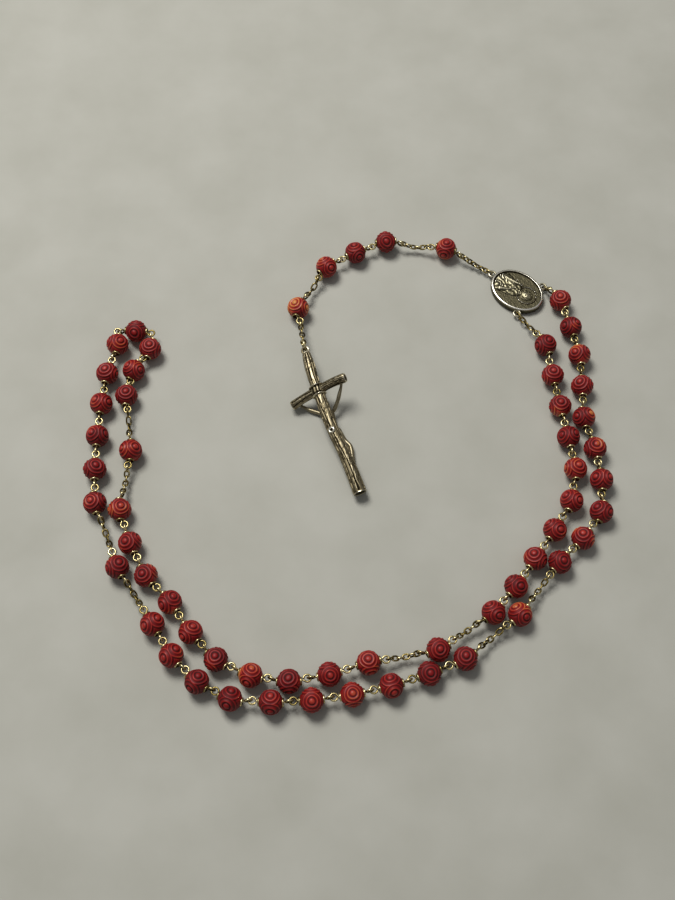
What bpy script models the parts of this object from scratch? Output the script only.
"""A rosary of carved wooden beads on brass chain, laid flat with its loop doubled back on itself.

Metres, +Z up. The origin is the middle of the medal's back, which lies on the surface at z = 0.
The pieces are built in millimetres and scaled once, by MM.

The loop's beads are numbered 1 to 54 from the medal's first strand lug round to its second.
Beads 11, 22, 33 and 44 are the single beads between the five decades, and each has a long
chain on both sides. The pendant hangs from the medal's lower lug: five beads, then the crucifix.
"""

import math

import bpy
import numpy as np
from mathutils import Matrix, Vector

MM = 0.001

# Beads
BEAD_RADIUS = 3.5
BEAD_SIDES = 8
BEAD_PROFILE = ((3.3, 1.17), (2.2, 2.72), (0.0, 3.5), (-2.2, 2.72), (-3.3, 1.17))
AXIS_HEIGHT = BEAD_RADIUS
PENDANT_BEAD_HALF = 3.05
PENDANT_BORE_RADIUS = 0.75

# Wire, eyes and chain
WIRE_RADIUS = 0.35
STUB_LEAST = 0.15
EYE_RADIUS = 1.05
EYE_WIRE_RADIUS = 0.34
EYE_SIDES = 6
EYE_OFFSET = 0.55
EYE_SKEW = math.radians(3)  # keeps the edges of an eye off the edges of the wire it joins
LINK_REACH = 5.53
PIN_CAP_RADIUS = 1.25
PIN_CAP_START = 3.35
PIN_CAP_END = 3.5
CHAIN_LINK_LENGTH = 2.1
CHAIN_LINK_HALF_WIDTH = 0.95
CHAIN_WAIST = 0.4
CHAIN_BITE = 0.15

# Medal: an oval with its long axis from the pendant's lug to between the two strand lugs
MEDAL_HALF_LENGTH = 9.2
MEDAL_HALF_WIDTH = 7.15
MEDAL_THICKNESS = 2.1
MEDAL_RIM_WIDTH = 0.75
MEDAL_FIELD_HEIGHT = 1.6
MEDAL_EDGE_ROUND = 0.3
MEDAL_TURN = math.radians(-40.5)
MEDAL_SIDES = 24
STRAND_LUG_ANGLE = math.radians(58)
LUG_GAP = 1.0
LUG_HEIGHT = 1.25
LUG_EYE_HEIGHT = 1.5

# Crucifix, in its own frame: +Y up the post, +Z out of its back, the crossing at the origin
CROSSING = (-64.6, -41.1, 6.2)
CROSS_HEADING = math.radians(22)
CROSS_PITCH = math.radians(5.8)
CROSS_ROLL = math.radians(27)
POST = (
    (0.8, 13.6, -1.4, 1.2), (0.5, 9.0, -0.7, 1.6), (0.1, 4.0, -0.1, 1.5),
    (0.0, -2.0, 0.0, 1.65), (-0.3, -12.0, 0.1, 1.75), (0.2, -24.0, 0.0, 1.8), (0.0, -35.6, 0.0, 2.05),
)
CROSSBAR = (
    (-9.8, -0.4, 0.0, 1.4), (-5.5, -0.1, 0.1, 1.3), (-1.5, 0.1, 0.0, 1.35),
    (1.5, 0.1, 0.0, 1.35), (5.5, 0.0, 0.1, 1.3), (9.8, -0.5, 0.0, 1.45),
)
COLLAR_RADIUS = 2.15
COLLAR_HALF_LENGTH = 2.1
BAIL_CENTRE = (0.9, 14.6, -1.5)
PEG_PLACE = (-0.1, -14.2)
PEG_RADIUS = 0.5
PEG_BORE_RADIUS = 0.8
JUMP_RING_CENTRE = (1.0, 16.3, -1.6)
JUMP_RING_RADIUS = 1.7

# Corpus, in the crucifix's frame: each row is a point on a limb's middle and the limb's radius
HEAD = ((-0.8, -2.3, -4.6, 0.5), (-0.7, -2.9, -4.7, 1.15), (-0.6, -4.2, -4.6, 1.3), (-0.6, -6.2, -3.9, 0.65))
TRUNK = (
    (-0.6, -5.0, -3.7, 0.8), (-0.7, -6.6, -3.8, 1.5), (-0.7, -9.5, -4.0, 1.45),
    (-0.5, -13.0, -3.9, 1.5), (0.6, -18.5, -4.1, 1.35), (1.0, -21.0, -3.9, 1.15),
    (0.6, -26.0, -3.2, 0.8), (0.3, -30.0, -3.1, 0.7), (0.2, -31.5, -3.4, 0.5),
)
ARMS = (
    ((-7.9, -0.4, -2.3, 0.5), (-7.2, -1.8, -2.7, 0.45), (-1.4, -7.0, -3.8, 0.7)),
    ((7.9, -0.4, -2.3, 0.5), (7.2, -1.8, -2.7, 0.45), (0.2, -7.0, -3.8, 0.7)),
)

# The loop's route: the place of each bead listed here, and the beads between are spread evenly
LOOP_ROUTE = {
    1: (13.5, -5.0), 3: (18.0, -25.5), 5: (17.5, -48.0), 6: (20.0, -58.5), 8: (20.0, -79.5),
    10: (6.5, -95.5), 11: (-6.0, -111.5), 12: (-22.0, -124.5), 15: (-53.5, -135.0),
    18: (-87.0, -136.5), 20: (-104.0, -124.5), 21: (-110.0, -115.5), 22: (-121.5, -98.5),
    23: (-130.0, -78.5), 26: (-131.5, -45.0), 28: (-128.5, -23.5), 29: (-123.0, -18.5),
    30: (-118.0, -25.0), 31: (-122.5, -33.0), 32: (-124.0, -42.0), 33: (-121.0, -61.0),
    34: (-122.5, -80.5), 36: (-113.0, -101.0), 37: (-105.5, -109.0), 39: (-91.5, -125.5),
    41: (-71.0, -131.5), 43: (-49.0, -126.0), 44: (-29.5, -122.0), 45: (-13.5, -111.0),
    47: (-0.5, -94.5), 49: (11.5, -76.0), 50: (13.5, -65.5), 52: (10.5, -44.0), 54: (7.5, -22.0),
}
LOOP_BEADS = 54
SINGLE_BEADS = (11, 22, 33, 44)
TURN_LINKS = {28: (-128.95, -18.15), 29: (-117.6, -19.3)}
PENDANT_ROUTE = ((-23.0, 15.0), (-43.0, 17.5), (-53.1, 13.0), (-62.6, 7.1), (-71.5, -9.0))
PENDANT_LONG_AFTER = (1, 4)

# Loop bodies from the medal outwards: each unit is the first and last bead on one stiff wire
LOOP_BODIES = (
    ((1, 2), (54, 54)),
    ((3, 4), (52, 53)),
    ((5, 6), (51, 51)),
    ((7, 8), (49, 50)),
    ((9, 10), (47, 48)),
    ((11, 11), (45, 46)),
    ((12, 13), (44, 44)),
    ((14, 15), (43, 43)),
    ((16, 17), (41, 42)),
    ((18, 19), (39, 40)),
    ((20, 21), (37, 38)),
    ((22, 22), (23, 24), (33, 33), (34, 34), (35, 36)),
    ((25, 26), (32, 32)),
    ((27, 28), (29, 29), (30, 31)),
)
TURN_BEAD = 29

COLOURS = {
    "stained_wood": ((0.33, 0.03, 0.035), 0.38, 0.0),
    "aged_brass": ((0.42, 0.33, 0.14), 0.35, 1.0),
    "antique_silver": ((0.36, 0.34, 0.28), 0.4, 1.0),
}


# ---------------------------------------------------------------- route


def smooth_curve(points, steps=24):
    """Catmull-Rom curve through the points, as one array of steps samples for each stretch."""
    p = np.asarray(points, float)
    p = np.vstack([2 * p[0] - p[1], p, 2 * p[-1] - p[-2]])
    t = np.linspace(0, 1, steps + 1)[:, None]
    stretches = []
    for i in range(1, len(p) - 2):
        a, b, c, d = p[i - 1 : i + 3]
        stretches.append(
            0.5 * (2 * b + (c - a) * t + (2 * a - 5 * b + 4 * c - d) * t**2
                   + (3 * b - a - 3 * c + d) * t**3)
        )
    return stretches


def loop_places():
    """{bead number: Vector of its centre}, beads spread evenly between the route's own."""
    numbers = sorted(LOOP_ROUTE)
    places = {}
    stretches = smooth_curve([LOOP_ROUTE[n] for n in numbers])
    for first, last, line in zip(numbers, numbers[1:], stretches):
        run = np.concatenate([[0], np.cumsum(np.linalg.norm(np.diff(line, axis=0), axis=1))])
        for n in range(first, last + 1):
            s = run[-1] * (n - first) / (last - first)
            x, y = (float(np.interp(s, run, line[:, k])) for k in (0, 1))
            places[n] = Vector((x, y, AXIS_HEIGHT))
    return places


class Link:
    """Where two neighbours on a strand hook together: the point, and each side's eye centre."""

    def __init__(self, point, before, after):
        self.point = point
        self.eye_before = point + (before - point).normalized() * EYE_OFFSET
        self.eye_after = self.eye_before + (after - self.eye_before).normalized() * 2 * EYE_OFFSET


class Strand:
    """A row of beads with the links between them; key (n, 0) is the link or chain start after
    bead n, and key (n, 1) is the end of the long chain after bead n."""

    def __init__(self, places, long_after, turns=None):
        self.places = places
        self.long_after = long_after
        self.links = {}
        for n in sorted(places)[:-1]:
            here, there = places[n], places[n + 1]
            if n in long_after:
                along = (there - here).normalized() * LINK_REACH
                start, end = here + along, there - along
                self.links[n, 0] = Link(start, here, end)
                self.links[n, 1] = Link(end, start, there)
            else:
                middle = (here + there) / 2
                if turns and n in turns:
                    middle = Vector((*turns[n], AXIS_HEIGHT))
                self.links[n, 0] = Link(middle, here, there)

    def before(self, n):
        """The link on bead n's low side."""
        return self.links[n - 1, 1 if n - 1 in self.long_after else 0]

    def after(self, n):
        """The link on bead n's high side."""
        return self.links[n, 0]


def medal_lug(angle):
    """Centre of the lug ring on the medal's edge at this angle of the oval, and its way out."""
    edge = Vector((MEDAL_HALF_LENGTH * math.cos(angle), MEDAL_HALF_WIDTH * math.sin(angle), 0))
    out = Vector((math.cos(angle) / MEDAL_HALF_LENGTH, math.sin(angle) / MEDAL_HALF_WIDTH, 0))
    turn = Matrix.Rotation(MEDAL_TURN, 3, "Z")
    centre = turn @ (edge + out.normalized() * LUG_GAP)
    return Vector((centre.x, centre.y, LUG_HEIGHT))


def lug_link(lug, bead):
    """Link between a medal lug and the chain to this bead: the chain's eye is a little higher."""
    way = Vector((bead.x - lug.x, bead.y - lug.y, 0)).normalized()
    link = Link(lug + way * EYE_OFFSET, lug, lug + way * EYE_OFFSET * 2)
    link.eye_after = Vector((*link.eye_after.xy, LUG_EYE_HEIGHT))
    return link


# ---------------------------------------------------------------- mesh helpers


def mesh_object(name, points, faces, material, smooth=True):
    """One object from points in millimetres, which set_on scales to metres."""
    mesh = bpy.data.meshes.new(name)
    mesh.from_pydata([Vector(p) for p in points], [], faces)
    mesh.materials.append(material)
    if smooth:
        mesh.shade_smooth()
        mesh.set_sharp_from_angle(angle=math.radians(40))
    mesh.update()
    obj = bpy.data.objects.new(name, mesh)
    bpy.context.scene.collection.objects.link(obj)
    return obj


def side_frame(way):
    """Two directions square to this one, the second as near to upright as it can be."""
    way = way.normalized()
    upright = Vector((0, 0, 1)) if abs(way.z) < 0.9 else Vector((0, 1, 0))
    side = way.cross(upright).normalized()
    return side, side.cross(way)


def tube(name, stations, material, sides=BEAD_SIDES):
    """Closed skin over rings; a station is (centre, direction, half width, half height)."""
    points, faces = [], []
    for centre, way, wide, high in stations:
        side, up = side_frame(way)
        for k in range(sides):
            turn = math.tau * k / sides
            points.append(centre + side * (wide * math.cos(turn)) + up * (high * math.sin(turn)))
    for i in range(len(stations) - 1):
        for k in range(sides):
            a, b = i * sides + k, i * sides + (k + 1) % sides
            faces.append((a, a + sides, b + sides, b))
    faces.append(tuple(range(sides)))
    faces.append(tuple(reversed(range(len(points) - sides, len(points)))))
    return mesh_object(name, points, faces, material)


def path_tube(name, rows, material, sides=BEAD_SIDES):
    """Tube through rows of (x, y, z, radius)."""
    spots = [Vector(r[:3]) for r in rows]
    stations = []
    for i, spot in enumerate(spots):
        way = spots[min(i + 1, len(spots) - 1)] - spots[max(i - 1, 0)]
        stations.append((spot, way, rows[i][3], rows[i][3]))
    return tube(name, stations, material, sides)


def ring(name, centre, way, normal, material, radius=EYE_RADIUS, wire=EYE_WIRE_RADIUS):
    """Wire eye: a torus round normal, with a corner of its outline along way."""
    way, normal = way.normalized(), normal.normalized()
    across = normal.cross(way)
    points, faces = [], []
    for i in range(EYE_SIDES):
        turn = math.tau * i / EYE_SIDES + EYE_SKEW
        out = way * math.cos(turn) + across * math.sin(turn)
        for k in range(4):
            lean = math.tau * k / 4 + EYE_SKEW
            points.append(centre + out * (radius + wire * math.cos(lean)) + normal * (wire * math.sin(lean)))
    for i in range(EYE_SIDES):
        for k in range(4):
            a, b = i * 4 + k, i * 4 + (k + 1) % 4
            c, d = (i + 1) % EYE_SIDES * 4 + k, (i + 1) % EYE_SIDES * 4 + (k + 1) % 4
            faces.append((a, c, d, b))
    return mesh_object(name, points, faces, material)


def boolean(obj, others, operation="UNION"):
    """Applies one Boolean for each of the others, and removes them. The exact solver drops the
    shape on a few of the small eyes, and the manifold solver takes over there."""
    least = len(obj.data.polygons) if operation == "UNION" else 1
    for solver in ("EXACT", "MANIFOLD"):
        obj.modifiers.clear()
        for other in others:
            modifier = obj.modifiers.new(operation.title(), "BOOLEAN")
            modifier.operation = operation
            modifier.solver = solver
            modifier.object = other
        graph = bpy.context.evaluated_depsgraph_get()
        mesh = bpy.data.meshes.new_from_object(obj.evaluated_get(graph))
        if len(mesh.polygons) >= least:
            break
    mesh.name = obj.name
    obj.modifiers.clear()
    obj.data = mesh
    for other in others:
        bpy.data.objects.remove(other, do_unlink=True)
    return obj


def level(way):
    """The same direction with no rise."""
    return Vector((way.x, way.y, 0)).normalized()


def flat_eye(centre, way, material):
    """Eye that lies level."""
    return ring("eye", centre, level(way), Vector((0, 0, 1)), material)


def upright_eye(centre, way, material):
    """Eye that stands on edge, in line with way."""
    way = level(way)
    return ring("eye", centre, way, Vector((way.y, -way.x, 0)), material)


# ---------------------------------------------------------------- pieces


def bead_stations(centre, way):
    """Tube stations of one bead."""
    return [(centre - way * x, way, r, r) for x, r in BEAD_PROFILE]


def loop_unit(name, strand, link_in, link_out, numbers, metals):
    """One or two loop beads on their wire, with an upright eye before and a level eye after."""
    wood, brass = metals
    eyes = link_in.eye_after, link_out.eye_before
    spots = [link_in.point, *(strand.places[n] for n in numbers), link_out.point]
    stations = []
    for i in range(1, len(spots) - 1):
        way = (strand_point(spots, i + 1) - strand_point(spots, i - 1)).normalized()
        if i > 1:
            stations.append(((spots[i - 1] + spots[i]) / 2, way, WIRE_RADIUS, WIRE_RADIUS))
        stations += bead_stations(spots[i], way)
    first, last = spots[1] - eyes[0], eyes[1] - spots[-2]
    stations.insert(0, (stub_end(spots[1], -first), first, WIRE_RADIUS, WIRE_RADIUS))
    stations.append((stub_end(spots[-2], last), last, WIRE_RADIUS, WIRE_RADIUS))
    obj = tube(name, stations, wood)
    return boolean(obj, [upright_eye(eyes[0], first, brass), flat_eye(eyes[1], last, brass)])


def stub_end(bead, out):
    """Point where the wire from this bead runs into its eye, whose centre is out from it."""
    return bead + out.normalized() * max(out.length - EYE_RADIUS, BEAD_PROFILE[0][0] + STUB_LEAST)


def strand_point(spots, i):
    """The link side of a unit's row: a middle bead's neighbour counts as half way to it."""
    if 0 < i < len(spots) - 1:
        other = spots[i - 1] if i > 1 else spots[i + 1]
        return (spots[i] + other) / 2
    return spots[i]


def chain(name, link_in, link_out, material, last_eye=flat_eye):
    """Long chain as one piece: an eye at each end and flattened links between, turned in turn."""
    start, end = link_in.eye_after, link_out.eye_before
    flat = level(end - start)
    near, far = start + flat * (EYE_RADIUS - CHAIN_BITE), end - flat * (EYE_RADIUS - CHAIN_BITE)
    way, inner = (far - near).normalized(), (far - near).length
    count = round(inner / CHAIN_LINK_LENGTH)
    stations = [(near, way, CHAIN_WAIST, CHAIN_WAIST)]
    for i in range(count):
        wide = CHAIN_LINK_HALF_WIDTH if i % 2 else CHAIN_WAIST
        high = CHAIN_LINK_HALF_WIDTH + CHAIN_WAIST - wide
        middle, joint = (near + way * (inner * (i + k) / count) for k in (0.5, 1))
        stations.append((middle, way, wide, high))
        if i < count - 1:
            stations.append((joint, way, CHAIN_WAIST, CHAIN_WAIST))
    stations.append((far, way, CHAIN_WAIST, CHAIN_WAIST))
    body = tube(name, stations, material, 4)
    return boolean(body, [upright_eye(start, flat, material), last_eye(end, flat, material)])


def pendant_pin(name, centre, link_in, link_out, material):
    """Wire through a pendant bead, with a cap outside each end of the bore and both eyes."""
    eyes = link_in.eye_after, link_out.eye_before
    way = level(eyes[1] - eyes[0])
    rows = [
        (-PIN_CAP_END, WIRE_RADIUS), (-PIN_CAP_END, PIN_CAP_RADIUS),
        (-PIN_CAP_START, PIN_CAP_RADIUS), (-PIN_CAP_START, WIRE_RADIUS),
        (PIN_CAP_START, WIRE_RADIUS), (PIN_CAP_START, PIN_CAP_RADIUS),
        (PIN_CAP_END, PIN_CAP_RADIUS), (PIN_CAP_END, WIRE_RADIUS),
    ]
    stations = [(centre + way * x, way, r, r) for x, r in rows]
    outer = [eye + (centre - eye).normalized() * (EYE_RADIUS - CHAIN_BITE) for eye in eyes]
    stations.insert(0, (outer[0], way, WIRE_RADIUS, WIRE_RADIUS))
    stations.append((outer[1], way, WIRE_RADIUS, WIRE_RADIUS))
    obj = tube(name, stations, material)
    return boolean(obj, [upright_eye(eyes[0], way, material), flat_eye(eyes[1], way, material)])


def pendant_bead(name, material):
    """Bead turned round its own X axis with an open bore, at the origin."""
    half = PENDANT_BEAD_HALF
    end = math.sqrt(BEAD_RADIUS**2 - half**2)
    outline = [
        (-half, PENDANT_BORE_RADIUS), (-half, end), (-2.2, 2.72), (0, BEAD_RADIUS),
        (2.2, 2.72), (half, end), (half, PENDANT_BORE_RADIUS),
    ]
    points, faces = [], []
    for x, r in outline:
        for k in range(BEAD_SIDES):
            turn = math.tau * k / BEAD_SIDES
            points.append((x, r * math.cos(turn), r * math.sin(turn)))
    for i in range(len(outline)):
        for k in range(BEAD_SIDES):
            a, b = i * BEAD_SIDES + k, i * BEAD_SIDES + (k + 1) % BEAD_SIDES
            j = (i + 1) % len(outline) * BEAD_SIDES
            faces.append((a, b, j + (k + 1) % BEAD_SIDES, j + k))
    return mesh_object(name, points, faces, material)


def medal(material, lugs):
    """Oval medal: flat back, raised rim, a low figure in relief and three edge lugs."""
    levels = (
        (0.0, MEDAL_EDGE_ROUND), (MEDAL_EDGE_ROUND, 0.0), (MEDAL_THICKNESS - MEDAL_EDGE_ROUND, 0.0),
        (MEDAL_THICKNESS, MEDAL_EDGE_ROUND), (MEDAL_THICKNESS, MEDAL_RIM_WIDTH),
        (MEDAL_FIELD_HEIGHT, MEDAL_RIM_WIDTH + 0.3),
    )
    turn = Matrix.Rotation(MEDAL_TURN, 3, "Z")
    points, faces = [], []
    for z, inset in levels:
        for k in range(MEDAL_SIDES):
            a = math.tau * k / MEDAL_SIDES
            x = (MEDAL_HALF_LENGTH - inset) * math.cos(a)
            y = (MEDAL_HALF_WIDTH - inset) * math.sin(a)
            points.append(turn @ Vector((x, y, z)))
    n = MEDAL_SIDES
    for i in range(len(levels) - 1):
        for k in range(n):
            a, b = i * n + k, i * n + (k + 1) % n
            faces.append((a, b, b + n, a + n))
    faces.append(tuple(reversed(range(n))))
    faces.append(tuple(range(len(points) - n, len(points))))
    obj = mesh_object("medal_centrepiece", points, faces, material)
    figure = [(-6.6, 0.0, 1.3, 0.6), (-5.5, 0.0, 1.4, 0.9), (-1.0, -0.4, 1.4, 0.85), (2.6, -0.3, 1.4, 0.6)]
    head = [(2.0, -0.8, 1.4, 0.4), (3.4, -0.9, 1.4, 1.0), (4.9, -0.9, 1.4, 0.5)]
    extras = []
    for rows, widen in ((figure, 3.2), (head, 1.5)):
        spots = [turn @ Vector(r[:3]) for r in rows]
        way = turn @ Vector((1, 0, 0))
        extras.append(tube("relief", [(s, way, r[3] * widen, r[3]) for s, r in zip(spots, rows)], material))
    for lug in lugs:
        extras.append(flat_eye(lug, lug, material))
    return boolean(obj, extras)


def crucifix_cross(material):
    """Log cross cast in one piece: post, crossbar, collar, bail, and the bore for the peg."""
    obj = path_tube("crucifix_cross", POST, material)
    bar = path_tube("bar", CROSSBAR, material)
    up = Vector((0, 1, 0))
    collar = tube(
        "collar",
        [(Vector((0, y, 0)), up, COLLAR_RADIUS, COLLAR_RADIUS) for y in (-COLLAR_HALF_LENGTH, COLLAR_HALF_LENGTH)],
        material,
    )
    bail = ring("bail", Vector(BAIL_CENTRE), up, Vector((0, 0, 1)), material, 1.05, 0.4)
    boolean(obj, [bar, collar, bail])
    x, y = PEG_PLACE
    cutter = path_tube("bore", [(x, y, -4, PEG_BORE_RADIUS), (x, y, 4, PEG_BORE_RADIUS)], material)
    return boolean(obj, [cutter], "DIFFERENCE")


def crucifix_corpus(material):
    """Figure on the cross, with the peg that holds it through the post."""
    obj = path_tube("crucifix_corpus", TRUNK, material)
    limbs = [path_tube("limb", rows, material, 6) for rows in (HEAD, *ARMS)]
    x, y = PEG_PLACE
    peg = path_tube("peg", [(x, y, -3.4, PEG_RADIUS), (x, y, 1.9, PEG_RADIUS)], material)
    return boolean(obj, [*limbs, peg])


# ---------------------------------------------------------------- assembly


def set_on(obj, parent, pivot):
    """Scales the object from millimetres, and puts its origin at its pivot, under its parent."""
    obj.data.transform(Matrix.Scale(MM, 4) @ Matrix.Translation(-pivot))
    obj.parent = parent
    obj.location = pivot * MM - world_place(parent)


def world_place(empty):
    """World location of an unturned empty."""
    place = Vector((0, 0, 0))
    while empty:
        place += empty.location
        empty = empty.parent
    return place


def pivot_empty(name, pivot, parent):
    """Empty on a joint's axis."""
    empty = bpy.data.objects.new(name, None)
    empty.empty_display_size = 0.004
    bpy.context.scene.collection.objects.link(empty)
    empty.parent = parent
    empty.location = pivot * MM - (world_place(parent) if parent else Vector((0, 0, 0)))
    return empty


def fold_axis(strand, units):
    """Two points of a fold's axis: the upright eyes where its outer and inner beads begin."""
    outer = units[0][0]
    inner = units[-1][1]
    over = strand.before(outer) if outer - 1 not in strand.long_after else strand.links[outer - 1, 0]
    back = strand.after(inner) if inner not in strand.long_after else strand.links[inner, 1]
    return over.eye_after, back.eye_after


def unit_name(first, last):
    """Plain name of the beads first to last of the loop."""
    if first in SINGLE_BEADS:
        return f"our_father_bead_{SINGLE_BEADS.index(first) + 1}"
    decade = first // 11 + 1
    place = first - 11 * (decade - 1)
    if last == first:
        return f"decade{decade}_bead_{place}"
    return f"decade{decade}_beads_{place}_{place + last - first}"


def make_materials():
    """The three materials, by name."""
    made = {}
    for name, (colour, roughness, metallic) in COLOURS.items():
        material = bpy.data.materials.new(name)
        material.use_nodes = True
        shader = material.node_tree.nodes["Principled BSDF"]
        shader.inputs["Base Color"].default_value = (*colour, 1)
        shader.inputs["Roughness"].default_value = roughness
        shader.inputs["Metallic"].default_value = metallic
        made[name] = material
    return made


def build_loop(strand, lugs, root, made):
    """The loop's beads and chains on the medal and on the thirteen folds."""
    wood, brass = made["stained_wood"], made["aged_brass"]
    first_link = lug_link(lugs[0], strand.places[1])
    last_lug = lug_link(lugs[1], strand.places[LOOP_BEADS])
    ends = {}
    for number, lug, other in ((1, first_link, 0), (LOOP_BEADS, last_lug, 1)):
        bead = strand.places[number]
        way = level(bead - lug.point)
        near = bead - way * LINK_REACH
        ends[number] = Link(near, lug.point, bead) if other == 0 else Link(near, bead, lug.point)
    pieces = [(chain("chain_medal_decade1", first_link, ends[1], brass), root)]
    back_link = Link(last_lug.point, ends[LOOP_BEADS].point, lugs[1])
    back_link.eye_before = last_lug.eye_after
    pieces.append((chain("chain_decade5_medal", ends[LOOP_BEADS], back_link, brass, upright_eye), root))
    parent = root
    for number, units in enumerate(LOOP_BODIES):
        if number:
            pivot = sum(fold_axis(strand, units), Vector()) / 2
            parent = pivot_empty(f"fold_{number:02d}_axis", pivot, parent)
        for first, last in units:
            before = ends[1] if first == 1 else strand.before(first)
            after = ends[LOOP_BEADS] if last == LOOP_BEADS else strand.after(last)
            numbers = range(first, last + 1)
            name = unit_name(first, last)
            pieces.append((loop_unit(name, strand, before, after, numbers, (wood, brass)), parent))
            for n in (first - 1, last):
                carried = n + 1 == first if n < TURN_BEAD else n == last
                if n in strand.long_after and carried:
                    name = f"chain_after_bead_{n}"
                    pieces.append((chain(name, strand.links[n, 0], strand.links[n, 1], brass), parent))
    return pieces


def build_pendant(lug, root, made):
    """The pendant from its lug to the crucifix: chains, pins, beads, jump ring, cross and corpus."""
    wood, brass, silver = made["stained_wood"], made["aged_brass"], made["antique_silver"]
    frame = crucifix_frame()
    ring_centre = frame @ Vector(JUMP_RING_CENTRE)
    places = {i + 1: Vector((*p, AXIS_HEIGHT)) for i, p in enumerate(PENDANT_ROUTE)}
    top = lug_link(lug, places[1])
    way = level(places[1] - lug)
    near = Link(places[1] - way * LINK_REACH, top.point, places[1])
    strand = Strand(places, PENDANT_LONG_AFTER)
    out = level(ring_centre - places[5])
    last = Link(places[5] + out * LINK_REACH, places[5], ring_centre)
    foot = Link(ring_centre, last.point, ring_centre)
    foot.eye_before = ring_centre + (last.point - ring_centre).normalized() * JUMP_RING_RADIUS
    pieces, parent = [], root

    def add_chain(index, link_in, link_out, pivot):
        nonlocal parent
        parent = pivot_empty(f"pendant_chain_{index}_axis", pivot, parent)
        pieces.append((chain(f"pendant_chain_{index}", link_in, link_out, brass), parent))

    add_chain(1, top, near, lug)
    chains = 1
    for n in range(1, 6):
        before = near if n == 1 else strand.before(n)
        after = last if n == 5 else strand.after(n)
        parent = pivot_empty(f"pendant_pin_{n}_axis", before.eye_before, parent)
        pin = pendant_pin(f"pendant_pin_{n}", places[n], before, after, brass)
        pieces.append((pin, parent))
        bead = pendant_bead(f"pendant_bead_{n}", wood)
        heading = level(after.eye_before - before.eye_after)
        bead.rotation_euler.z = math.atan2(heading.y, heading.x)
        bead.data.transform(Matrix.Scale(MM, 4))
        bead.parent = parent
        bead.location = places[n] * MM - world_place(parent)
        if n in PENDANT_LONG_AFTER:
            chains += 1
            add_chain(chains, strand.links[n, 0], strand.links[n, 1], strand.links[n, 0].eye_before)
        elif n == 5:
            chains += 1
            add_chain(chains, last, foot, last.eye_before)
    parent = pivot_empty("crucifix_swing_axis", foot.eye_before, parent)
    heading = level(frame @ Vector((0, -1, 0)) - frame @ Vector((0, 0, 0)))
    upright = Vector((heading.y, -heading.x, 0))
    jump = ring("crucifix_jump_ring", ring_centre, heading, upright, brass, JUMP_RING_RADIUS)
    pieces.append((jump, parent))
    parent = pivot_empty("crucifix_lift_axis", ring_centre, parent)
    for obj in (crucifix_cross(silver), crucifix_corpus(silver)):
        obj.data.transform(frame)
        pieces.append((obj, parent))
    return pieces


def crucifix_frame():
    """Matrix from the crucifix's own frame to the rosary's, both in millimetres."""
    turn = Matrix.Rotation(CROSS_HEADING, 4, "Z")
    pitch = Matrix.Rotation(CROSS_PITCH, 4, "X")
    roll = Matrix.Rotation(-CROSS_ROLL, 4, "Y")
    return Matrix.Translation(CROSSING) @ turn @ pitch @ roll


def main():
    """Clears the scene and builds the rosary."""
    for obj in list(bpy.data.objects):
        bpy.data.objects.remove(obj, do_unlink=True)
    made = make_materials()
    lugs = [medal_lug(a) for a in (STRAND_LUG_ANGLE, -STRAND_LUG_ANGLE, math.pi)]
    long_after = {n - 1 for n in SINGLE_BEADS} | set(SINGLE_BEADS)
    strand = Strand(loop_places(), long_after, TURN_LINKS)
    root = pivot_empty("rosary", Vector((0, 0, 0)), None)
    pieces = [(medal(made["antique_silver"], lugs), root)]
    pieces += build_loop(strand, lugs, root, made)
    pieces += build_pendant(lugs[2], root, made)
    for obj, parent in pieces:
        set_on(obj, parent, world_place(parent) / MM)


main()
